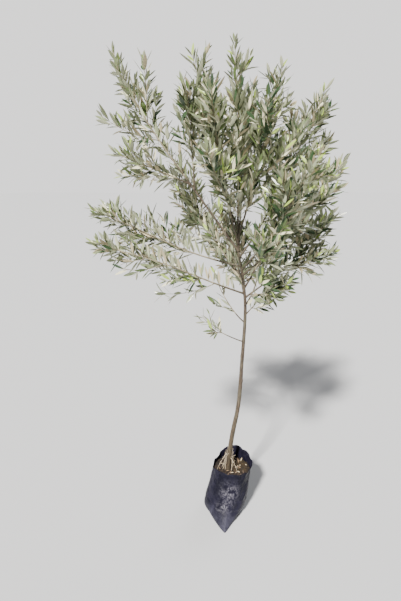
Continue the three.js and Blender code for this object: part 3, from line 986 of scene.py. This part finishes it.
def grow_branch(wood, store, branch):
    """A branch's stem, shoots, finer twigs and leaves, from the bough's tip on."""
    random = seeded(7000 + branch["index"])
    path, bare, length = branch["path"], branch["bare"], branch["length"]
    combed = branch["name"] in COMBED
    share = SPARSE.get(branch["name"], 1)
    stem = grown(path, TIP_GROWTH)
    steps = np.linspace(bare, length, STEM_RINGS)
    radii = [mix(branch["radius"], TIP_RADIUS, d / length) for d in steps] + [STEM_TIP_RADIUS]
    tube(wood, [point_on(path, d) for d in steps] + [stem[-1]], radii, STEM_SIDES)
    if combed:
        comb_on(store, branch, random)
    tone = int(random() * 4)
    first = length * CLEAR_SHARE if combed else bare + FIRST_LEAF
    leaves_on(store, path, first, branch, random, tone, 0.9 * share)
    leaves_on(store, stem[-2:], FIRST_LEAF, branch, random, tone)
    # Twigs grow on the stem, twice on a combed one, and on every shoot
    hosts = [(path, bare + FIRST_TWIG_ON_COMB, share)] * 2 if combed else [(path, bare + FIRST_TWIG, share)]
    for shoot in main_shoots(branch):
        full = share * (UNDER_COMB_SHARE if combed and hangs_below(shoot[-1], path) else 1)
        add_twig(wood, store, grown(shoot, TIP_GROWTH * 0.8), SHOOT_FORM, branch, random, 0.95 * full)
        hosts.append((shoot, min(22, path_length(shoot) * 0.25), full))
    for host, begin, full in hosts:
        for twig in fine_twigs(branch, host, begin, random):
            if random() < full:
                add_twig(wood, store, twig, TWIG_FORM, branch, random, full)


def build_crown():
    """All stems, shoots and twigs as one piece, and the leaves dealt to three pieces by branch."""
    wood = Pile()
    stores = [Pile() for _ in LEAF_PIECES]
    for branch in branches:
        grow_branch(wood, stores[branch["index"] % len(stores)], branch)
    names = ["leaves_" + branch["name"] for branch in branches]
    wood.piece("twigs", [twig_material()], "bark", names)
    tones = [material(name, colour, 0.31, Specular_IOR_Level=0.65) for name, colour in UPPER_TONES]
    tones += [material(name, colour, 0.6) for name, colour in LOWER_TONES]
    for k, store in enumerate(stores):
        store.piece("leaves_" + LEAF_PIECES[k], tones, "foliage", names[k :: len(stores)])


def smoothed(height, values):
    """A ring value between the named heights, eased over the kinks."""
    return sum(np.interp(height + shift, BAG_HEIGHTS, values) for shift in (-5, 0, 5)) / 3


def bag_reach(angle, height):
    """The outline's distance from the bag's middle line."""
    power = smoothed(height, BAG_POWERS)
    x = abs(math.cos(angle)) / smoothed(height, BAG_HALF_WIDTHS)
    y = abs(math.sin(angle)) / smoothed(height, BAG_HALF_LENGTHS)
    return (x**power + y**power) ** (-1 / power)


def leaned(angle, reach, height):
    """A point at a reach from the leaning middle line."""
    lean_x, lean_y = BAG_LEAN[0] * height, BAG_LEAN[1] * height
    return (reach * math.cos(angle) + lean_x, reach * math.sin(angle) + lean_y, height)


def rim_height(angle):
    """Highest at the back and at one corner, with a crumpled edge."""
    c, s = math.cos(angle), math.sin(angle)
    side = RIM["right"] if c > 0 else RIM["left"]
    end = RIM["back"] if s > 0 else RIM["front"]
    corner = RIM_CORNER_HEIGHT * max(0.0, math.cos(angle - math.radians(RIM_CORNER_TURN))) ** 6
    crumple = 2.2 * math.sin(5 * angle + 1.1) + 1.6 * math.sin(11 * angle + 0.4)
    return side * c * c + end * s * s + corner + crumple


def ridge(x, y, z):
    """Sharp creases: highest where the noise crosses zero."""
    return 1 - 2.4 * abs(noise.noise(Vector((x, y, z))))


def creases(angle, height):
    """How far the film stands out from its smooth outline."""
    x, y = math.cos(angle), math.sin(angle)
    long_folds = ridge(2.1 * x, 2.1 * y + 4, height / 150)
    slanting = ridge(1.7 * x + height / 110, 1.7 * y - height / 150, 7 + height / 80)
    crinkle = ridge(5.5 * x, 5.5 * y, 3 + height / 24)
    slump = ridge(1.4 * x, 1.4 * y, height / 26) * math.exp(-(((height - 78) / 40) ** 2))
    front = max(0.0, -y) ** 3
    above = height - 50 + 22 * x
    ear_fold = front * (2.4 * math.exp(-((above / 3.5) ** 2)) - 4 * math.exp(-(((above - 9) / 6) ** 2)))
    return 1.6 * long_folds + 1.5 * slanting + 1.1 * crinkle + 1.6 * slump + ear_fold


def bag_point(angle, height, inset, share):
    """A point of the film. share runs from 0 at the soil's edge to 1 at the rim."""
    reach = bag_reach(angle, min(height, BAG_HEIGHTS[-1])) - inset
    calm = min(1.0, height / 10)
    reach += creases(angle, height) * calm * (1 + 0.5 * share) - 1.2 * calm
    reach += share**1.6 * (3.2 * math.sin(4 * angle + 0.6) + 2.2 * math.sin(9 * angle + 2))
    return leaned(angle, reach, height)


def build_bag():
    """The film: up the outside, over the rim and down the inside to below the soil."""
    pile = Pile()
    vertices = []
    rows = [(0, 0, step / BAG_ROWS) for step in range(BAG_ROWS + 1)]
    rows += [(LINING_FOOT, FILM, 1 - step / LINING_ROWS) for step in range(LINING_ROWS + 1)]
    for foot, inset, share in rows:
        for angle in angles(BAG_AROUND):
            top = rim_height(angle)
            height = mix(foot, top, share)
            free = max(0.0, (height - FREE_FILM) / (top - FREE_FILM))
            vertices.append(bag_point(angle, height, inset, free))
    under, floor = len(vertices), len(vertices) + 1
    vertices += [leaned(0, 0, 0), leaned(0, 0, LINING_FOOT)]
    faces = ring_faces(len(rows), BAG_AROUND)
    faces += fan(0, BAG_AROUND, under, turned=True)
    faces += fan((len(rows) - 1) * BAG_AROUND, BAG_AROUND, floor)
    pile.add(vertices, faces)
    pile.piece("film_bag", [film_material()], "film", ["bag"])


SOIL_MIDDLE = leaned(0, 0, SOIL_TOP)


def soil_height(x, y):
    """The soil's level with its lumps."""
    lump = noise.noise(Vector((x / 26, y / 26, 2))) * 6 + noise.noise(Vector((x / 9, y / 9, 5))) * 2.4
    return SOIL_TOP + lump + noise.noise(Vector((x / 3.5, y / 3.5, 1))) * 0.9


def from_middle(angle, reach):
    """A place on the soil, across and along the bag."""
    return SOIL_MIDDLE[0] + reach * math.cos(angle), SOIL_MIDDLE[1] + reach * math.sin(angle)


def random_place(random, reach):
    """A random place on the soil within a reach of its middle."""
    return from_middle(2 * math.pi * random(), reach * math.sqrt(random()))


def add_clod(pile, centre, size, random):
    """A rough lump of soil."""
    around = 6
    corners = [(0, 0, 1), (0, 0, -1)]
    for k, a in enumerate(np.arange(around) * math.pi / 3):
        corners.append((math.cos(a) * 0.95, math.sin(a) * 0.95, 0.35 * (-1) ** k))
    corners = [centre + np.array(p) * size * (0.75 + 0.5 * random()) * (1, 1, 0.7) for p in corners]
    faces = [(0, 2 + k, 2 + (k + 1) % around) for k in range(around)]
    faces += [(1, 2 + (k + 1) % around, 2 + k) for k in range(around)]
    pile.add(corners, faces)


def build_soil(random):
    """The soil's lumpy top with clods on it, and a skirt down inside the bag."""
    pile = Pile()
    vertices = []
    for r in range(1, SOIL_RINGS + 1):
        for angle in angles(SOIL_AROUND):
            x, y = from_middle(angle, (bag_reach(angle, SOIL_OUTLINE) - SOIL_EDGE) * r / SOIL_RINGS)
            vertices.append((x, y, soil_height(x, y) - SOIL_SINK * (r / SOIL_RINGS) ** 8))
    for height in SKIRT_HEIGHTS:
        for angle in angles(SOIL_AROUND):
            vertices.append(leaned(angle, bag_reach(angle, height) - SKIRT_INSET, height))
    rings = SOIL_RINGS + len(SKIRT_HEIGHTS)
    top, under = len(vertices), len(vertices) + 1
    vertices += [(*SOIL_MIDDLE[:2], soil_height(*SOIL_MIDDLE[:2])), leaned(0, 0, SKIRT_HEIGHTS[-1])]
    faces = ring_faces(rings, SOIL_AROUND, turned=True)
    faces += fan(0, SOIL_AROUND, top)
    faces += fan((rings - 1) * SOIL_AROUND, SOIL_AROUND, under, turned=True)
    pile.add(vertices, faces)
    for _ in range(CLODS):
        x, y = random_place(random, CLOD_REACH)
        size = 1.6 + 4.2 * random() ** 2
        add_clod(pile, np.array((x, y, soil_height(x, y) + size * 0.25)), size, random)
    pile.piece("soil_top", [soil_material()], "soil", ["soil"])


def build_litter(random):
    """Dead leaves and straw on the soil."""
    litter = Pile()
    for k in range(LITTER):
        x, y = random_place(random, LITTER_REACH)
        way = heading(360 * random(), 14 * (random() - 0.4))
        face = unit(UP + 0.6 * scatter(random))
        length = 10 + 24 * random()
        root = np.array((x, y, soil_height(x, y) + 3.2)) - way * length / 2
        tone = k % len(DEAD_TONES)
        leaf(litter, root, way, face, length, 2 + 6 * random(), 0.2 * (random() - 0.5), 0.3, (tone, tone))
    litter.piece("litter", [material(name, colour, 0.8) for name, colour in DEAD_TONES], "soil", [])


# Stage: the floor, what the world gives as light and shows to the camera, and the lights, each with
# its place in metres, strength, softness and colour
FLOOR_COLOUR = (0.475, 0.482, 0.502)
FLOOR_CORNERS = ((-40, -20, 0), (40, -20, 0), (40, 90, 0), (-40, 90, 0))
WORLD_COLOUR = (1.0, 0.987, 0.976, 1)
WORLD_LIGHT = 0.29
WORLD_SEEN = 1.5
LIGHTS = (
    ("key", (-0.9, -1.9, 2.1), 11.5, 6, (1.0, 0.97, 0.91)),
    ("rim", (1.6, 1.8, 2.2), 1.1, 25, (0.96, 0.98, 1.0)),
)


def build_floor():
    mesh = bpy.data.meshes.new("floor")
    mesh.from_pydata(FLOOR_CORNERS, [], [(0, 1, 2, 3)])
    mesh.materials.append(material("floor", FLOOR_COLOUR, 0.9))
    floor = bpy.data.objects.new("floor", mesh)
    bpy.context.scene.collection.objects.link(floor)


def build_world():
    """A plain world, brighter to the camera than it is as a light."""
    world = bpy.data.worlds.new("studio")
    world.use_nodes = True
    tree = world.node_tree
    tree.nodes["Background"].inputs["Color"].default_value = WORLD_COLOUR
    seen = tree.nodes.new("ShaderNodeMapRange")
    seen.inputs["To Min"].default_value = WORLD_LIGHT
    seen.inputs["To Max"].default_value = WORLD_SEEN
    tree.links.new(tree.nodes.new("ShaderNodeLightPath").outputs["Is Camera Ray"], seen.inputs["Value"])
    tree.links.new(seen.outputs["Result"], tree.nodes["Background"].inputs["Strength"])
    bpy.context.scene.world = world


def build_lights():
    for name, place, strength, softness, colour in LIGHTS:
        light = bpy.data.lights.new(name, "SUN")
        light.energy = strength
        light.angle = math.radians(softness)
        light.color = colour
        lamp = bpy.data.objects.new(name, light)
        lamp.location = place
        lamp.rotation_euler = (-Vector(place)).to_track_quat("-Z", "Y").to_euler()
        bpy.context.scene.collection.objects.link(lamp)


def build_camera():
    """The camera at the photo's viewpoint."""
    camera = bpy.data.objects.new("camera", bpy.data.cameras.new("camera"))
    camera.data.sensor_width = CAMERA_FRAME
    camera.data.lens = CAMERA_LENS
    camera.location = CAMERA_AT
    camera.rotation_euler = (math.radians(90 - CAMERA_PITCH), 0, 0)
    bpy.context.scene.collection.objects.link(camera)
    bpy.context.scene.camera = camera


build_floor()
build_world()
build_lights()
build_camera()
build_limbs()
build_dry_shoots()
build_crown()
build_bag()
soil_random = seeded(31)
build_soil(soil_random)
build_litter(soil_random)
